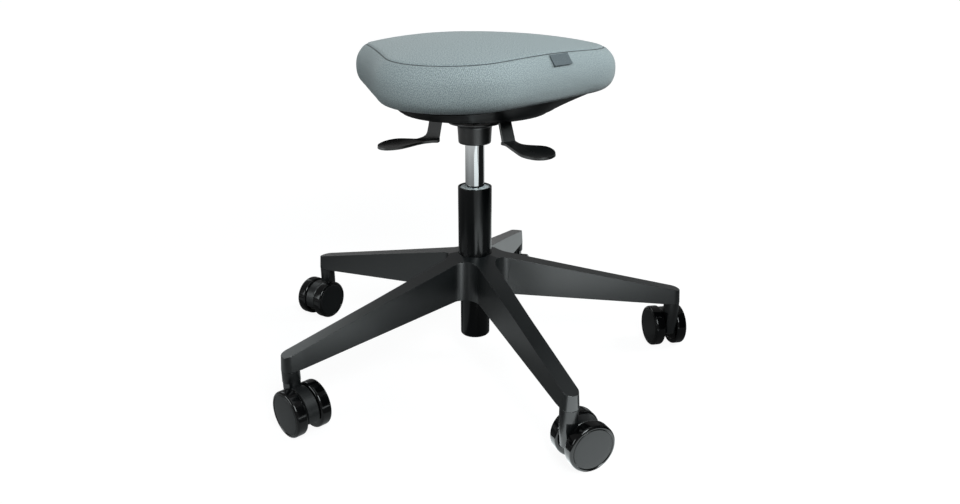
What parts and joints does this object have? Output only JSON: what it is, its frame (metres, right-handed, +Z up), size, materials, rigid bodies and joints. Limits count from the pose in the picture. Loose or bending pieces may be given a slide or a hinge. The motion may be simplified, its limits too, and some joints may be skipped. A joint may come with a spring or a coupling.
{
  "type": "perch stool",
  "caption": "Perch stool with a padded three-cornered tilting seat, a gas-lift column with two levers, and a five-legged base on twin-wheel casters.",
  "frame": {"origin": "centre of the footprint's box on the floor", "axes": "+Z up, the seat's front corner points along -Y and its right side along +X"},
  "size_m": [0.6622, 0.626, 0.4955],
  "materials": {
    "base_charcoal": "satin powder coat",
    "housing_charcoal": "satin",
    "wheel_black": "polished",
    "column_black": "satin",
    "lift_chrome": "polished",
    "fitting_steel": "zinc plated",
    "bush_grey": "moulded",
    "rubber_black": "matte",
    "mechanism_black": "satin powder coat",
    "lever_black": "moulded",
    "shell_black": "satin moulded",
    "board_wood": "raw plywood",
    "seat_fabric": "fine plain weave",
    "tab_fabric": "woven, blank"
  },
  "bodies": {
    "base": {"star_base": "base_charcoal", "column_tube": "column_black", "guide_bush": "bush_grey", "bearing_lower_washer": "fitting_steel"},
    "rod": {"piston_rod": "fitting_steel", "bearing_ball_cage": "fitting_steel", "bearing_upper_washer": "fitting_steel", "retaining_clip": "fitting_steel", "stop_bumper": "rubber_black"},
    "lift": {"gas_cylinder": "lift_chrome", "rod_seal": "rubber_black", "mechanism_housing": "mechanism_black"},
    "release_pin": {"release_pin": "fitting_steel"},
    "seat": {"tilt_pivot_pin_left": "fitting_steel", "tilt_pivot_pin_right": "fitting_steel", "seat_plate": "mechanism_black", "height_lever_pin": "fitting_steel", "tilt_lever_pin": "fitting_steel", "bottom_shell": "shell_black", "seat_board": "board_wood", "cushion": "seat_fabric", "label_tab": "tab_fabric", "seat_bolt_1": "fitting_steel", "seat_bolt_2": "fitting_steel", "seat_bolt_3": "fitting_steel", "seat_bolt_4": "fitting_steel"},
    "height_lever": {"height_lever": "lever_black"},
    "tilt_lever": {"tilt_lever": "lever_black"},
    "caster_1": {"caster_housing_1": "housing_charcoal", "caster_stem_1": "fitting_steel", "grip_ring_1": "fitting_steel", "caster_axle_1": "fitting_steel"},
    "wheel_left_1": {"wheel_left_1": "wheel_black"},
    "wheel_right_1": {"wheel_right_1": "wheel_black"},
    "caster_2": {"caster_housing_2": "housing_charcoal", "caster_stem_2": "fitting_steel", "grip_ring_2": "fitting_steel", "caster_axle_2": "fitting_steel"},
    "wheel_left_2": {"wheel_left_2": "wheel_black"},
    "wheel_right_2": {"wheel_right_2": "wheel_black"},
    "caster_3": {"caster_housing_3": "housing_charcoal", "caster_stem_3": "fitting_steel", "grip_ring_3": "fitting_steel", "caster_axle_3": "fitting_steel"},
    "wheel_left_3": {"wheel_left_3": "wheel_black"},
    "wheel_right_3": {"wheel_right_3": "wheel_black"},
    "caster_4": {"caster_housing_4": "housing_charcoal", "caster_stem_4": "fitting_steel", "grip_ring_4": "fitting_steel", "caster_axle_4": "fitting_steel"},
    "wheel_left_4": {"wheel_left_4": "wheel_black"},
    "wheel_right_4": {"wheel_right_4": "wheel_black"},
    "caster_5": {"caster_housing_5": "housing_charcoal", "caster_stem_5": "fitting_steel", "grip_ring_5": "fitting_steel", "caster_axle_5": "fitting_steel"},
    "wheel_left_5": {"wheel_left_5": "wheel_black"},
    "wheel_right_5": {"wheel_right_5": "wheel_black"}
  },
  "joints": [
    {"name": "swivel", "type": "hinge", "parent": "base", "child": "rod", "pos_m": [0.00634, -0.01196, 0.1573], "axis": [0, 0, 1], "continuous": true},
    {"name": "height_slide", "type": "slide", "parent": "rod", "child": "lift", "axis": [0, 0, 1], "range_m": [-0.035, 0.085]},
    {"name": "seat_tilt", "type": "hinge", "parent": "lift", "child": "seat", "pos_m": [0.00634, -0.01196, 0.382], "axis": [1, 0, 0], "range_deg": [-8, 8]},
    {"name": "height_lever_hinge", "type": "hinge", "parent": "seat", "child": "height_lever", "pos_m": [0.04212, -0.03582, 0.38152], "axis": [-0.5548, -0.8318, -0.0167], "range_deg": [0, 6], "stiffness_Nm_per_rad": 3, "springref_deg": -2.86},
    {"name": "tilt_lever_hinge", "type": "hinge", "parent": "seat", "child": "tilt_lever", "pos_m": [-0.02611, -0.04017, 0.38144], "axis": [-0.6561, 0.7546, 0.0151], "range_deg": [0, 6]},
    {"name": "release_pin_slide", "type": "slide", "parent": "lift", "child": "release_pin", "axis": [0, 0, -1], "range_m": [0, 0.0052]},
    {"name": "caster_swivel_1", "type": "hinge", "parent": "base", "child": "caster_1", "pos_m": [0.30403, 0.08476, 0.0814], "axis": [0, 0, 1], "continuous": true},
    {"name": "wheel_left_1_spin", "type": "hinge", "parent": "caster_1", "child": "wheel_left_1", "pos_m": [0.29515, 0.10346, 0.032], "axis": [-0.9033, -0.4289, 0], "continuous": true},
    {"name": "wheel_right_1_spin", "type": "hinge", "parent": "caster_1", "child": "wheel_right_1", "pos_m": [0.29515, 0.10346, 0.032], "axis": [-0.9033, -0.4289, 0], "continuous": true},
    {"name": "caster_swivel_2", "type": "hinge", "parent": "base", "child": "caster_2", "pos_m": [0.00634, 0.30104, 0.0814], "axis": [0, 0, 1], "continuous": true},
    {"name": "wheel_left_2_spin", "type": "hinge", "parent": "caster_2", "child": "wheel_left_2", "pos_m": [0.00634, 0.28034, 0.032], "axis": [1, 0, 0], "continuous": true},
    {"name": "wheel_right_2_spin", "type": "hinge", "parent": "caster_2", "child": "wheel_right_2", "pos_m": [0.00634, 0.28034, 0.032], "axis": [1, 0, 0], "continuous": true},
    {"name": "caster_swivel_3", "type": "hinge", "parent": "base", "child": "caster_3", "pos_m": [-0.29134, 0.08476, 0.0814], "axis": [0, 0, 1], "continuous": true},
    {"name": "wheel_left_3_spin", "type": "hinge", "parent": "caster_3", "child": "wheel_left_3", "pos_m": [-0.29756, 0.06502, 0.032], "axis": [0.9537, -0.3007, 0], "continuous": true},
    {"name": "wheel_right_3_spin", "type": "hinge", "parent": "caster_3", "child": "wheel_right_3", "pos_m": [-0.29756, 0.06502, 0.032], "axis": [0.9537, -0.3007, 0], "continuous": true},
    {"name": "caster_swivel_4", "type": "hinge", "parent": "base", "child": "caster_4", "pos_m": [-0.17763, -0.26519, 0.0814], "axis": [0, 0, 1], "continuous": true},
    {"name": "wheel_left_4_spin", "type": "hinge", "parent": "caster_4", "child": "wheel_left_4", "pos_m": [-0.15987, -0.27581, 0.032], "axis": [0.5135, 0.8581, 0], "continuous": true},
    {"name": "wheel_right_4_spin", "type": "hinge", "parent": "caster_4", "child": "wheel_right_4", "pos_m": [-0.15987, -0.27581, 0.032], "axis": [0.5135, 0.8581, 0], "continuous": true},
    {"name": "caster_swivel_5", "type": "hinge", "parent": "base", "child": "caster_5", "pos_m": [0.19032, -0.26519, 0.0814], "axis": [0, 0, 1], "continuous": true},
    {"name": "wheel_left_5_spin", "type": "hinge", "parent": "caster_5", "child": "wheel_left_5", "pos_m": [0.20643, -0.25219, 0.032], "axis": [-0.628, 0.7782, 0], "continuous": true},
    {"name": "wheel_right_5_spin", "type": "hinge", "parent": "caster_5", "child": "wheel_right_5", "pos_m": [0.20643, -0.25219, 0.032], "axis": [-0.628, 0.7782, 0], "continuous": true}
  ],
  "couplings": [
    {"joint": "release_pin_slide", "follows": "height_lever_hinge", "m_per_rad": 0.0475}
  ]
}
